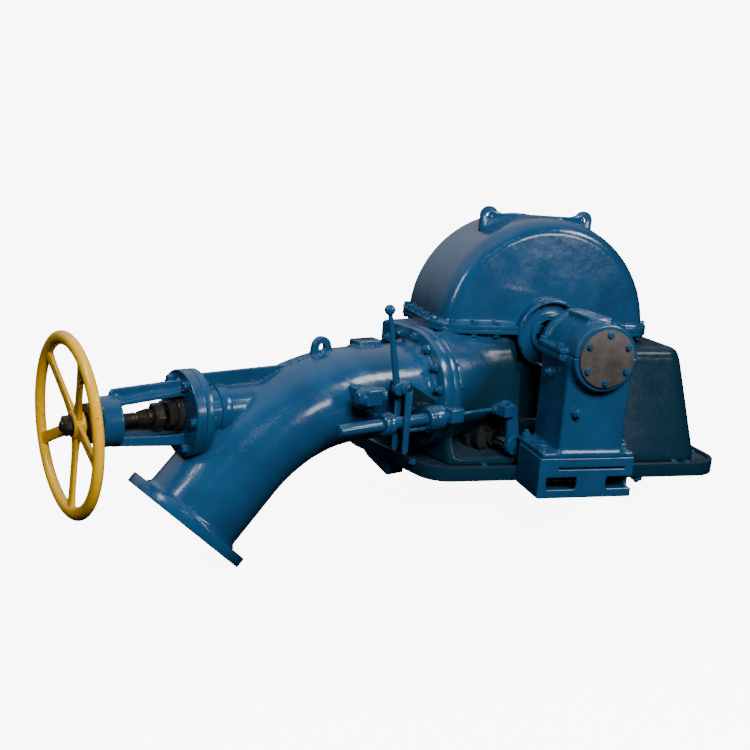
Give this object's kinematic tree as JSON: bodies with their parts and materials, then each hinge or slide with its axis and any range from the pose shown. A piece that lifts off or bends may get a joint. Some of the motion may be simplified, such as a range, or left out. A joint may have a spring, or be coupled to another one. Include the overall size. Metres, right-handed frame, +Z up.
{
  "type": "impulse water turbine",
  "caption": "Horizontal-shaft impulse water turbine with round hood, bolted elbow inlet, hand-set needle nozzle with open yoke and handwheel, and a lever-worked jet deflector.",
  "frame": {"origin": "on the base flange's underside, under the wheel shaft, in the flange's front band", "axes": "+Z up, +Y along the wheel shaft to its driven end behind the hood, +X away from the inlet"},
  "size_m": [2.5882, 1.8715, 1.2192],
  "materials": {
    "blue_enamel": "gloss blue enamel on cast iron",
    "handwheel_yellow": "gloss yellow paint, chipped",
    "dark_steel": "oiled dark steel",
    "bright_steel": "machined steel",
    "brown_cover": "brown-grey machined cover",
    "bronze": "cast bronze"
  },
  "bodies": {
    "casing": {"base_flange": "blue_enamel", "drain_boss": "blue_enamel", "front_bearing_cap": "blue_enamel", "front_bearing_cover": "brown_cover", "front_bracket": "blue_enamel", "front_pedestal": "blue_enamel", "front_seal_housing": "blue_enamel", "gland": "dark_steel", "guide_tube": "blue_enamel", "hood": "blue_enamel", "inlet_elbow": "blue_enamel", "inlet_leg": "blue_enamel", "left_guide": "blue_enamel", "lifting_eye": "blue_enamel", "locating_foot": "blue_enamel", "lower_casing": "blue_enamel", "nozzle_mouthpiece": "bright_steel", "rear_bearing_cap": "blue_enamel", "rear_bearing_cover": "brown_cover", "rear_bracket": "blue_enamel", "rear_pedestal": "blue_enamel", "rear_seal_housing": "blue_enamel", "right_guide": "blue_enamel", "stop_plug": "blue_enamel", "stuffing_box": "blue_enamel", "yoke": "blue_enamel"},
    "rotor": {"main_shaft": "bright_steel", "bucket_wheel": "bronze"},
    "handwheel_set": {"handwheel": "handwheel_yellow", "screw_sleeve": "dark_steel", "wheel_nut": "dark_steel"},
    "needle_train": {"adjusting_screw": "dark_steel", "rod_coupling": "dark_steel", "needle": "bright_steel"},
    "lever": {"hand_lever": "blue_enamel"},
    "link": {"guide_bar": "blue_enamel", "rod_end": "blue_enamel"},
    "deflector_set": {"deflector_shaft": "bright_steel", "crank_arm": "blue_enamel", "deflector": "bright_steel"}
  },
  "joints": [
    {"name": "wheel_shaft_turn", "type": "hinge", "parent": "casing", "child": "rotor", "pos_m": [0, 0.45, 0.519], "axis": [0, 1, 0], "continuous": true},
    {"name": "handwheel_turn", "type": "hinge", "parent": "casing", "child": "handwheel_set", "pos_m": [-1.73012, -0.28902, 0.303], "axis": [-0.9272, -0.3746, 0], "range_deg": [-270, 2025]},
    {"name": "needle_slide", "type": "slide", "parent": "casing", "child": "needle_train", "axis": [-0.9272, -0.3746, 0], "range_m": [-0.0061, 0.0451]},
    {"name": "lever_turn", "type": "hinge", "parent": "casing", "child": "lever", "pos_m": [-0.68104, -0.15205, 0.387], "axis": [0.3746, -0.9272, 0], "range_deg": [-8, 8]},
    {"name": "link_slide", "type": "slide", "parent": "casing", "child": "link", "axis": [0.9272, 0.3746, 0], "range_m": [-0.01741, 0.01741]},
    {"name": "deflector_turn", "type": "hinge", "parent": "casing", "child": "deflector_set", "pos_m": [-0.19705, 0.04349, 0.123], "axis": [-0.3746, 0.9272, 0], "range_deg": [-7.11, 7.11]}
  ],
  "couplings": [
    {"joint": "needle_slide", "follows": "handwheel_turn", "m_per_rad": 0.0012732},
    {"joint": "link_slide", "follows": "lever_turn", "m_per_rad": 0.124},
    {"joint": "deflector_turn", "follows": "lever_turn", "ratio": 0.88571}
  ]
}
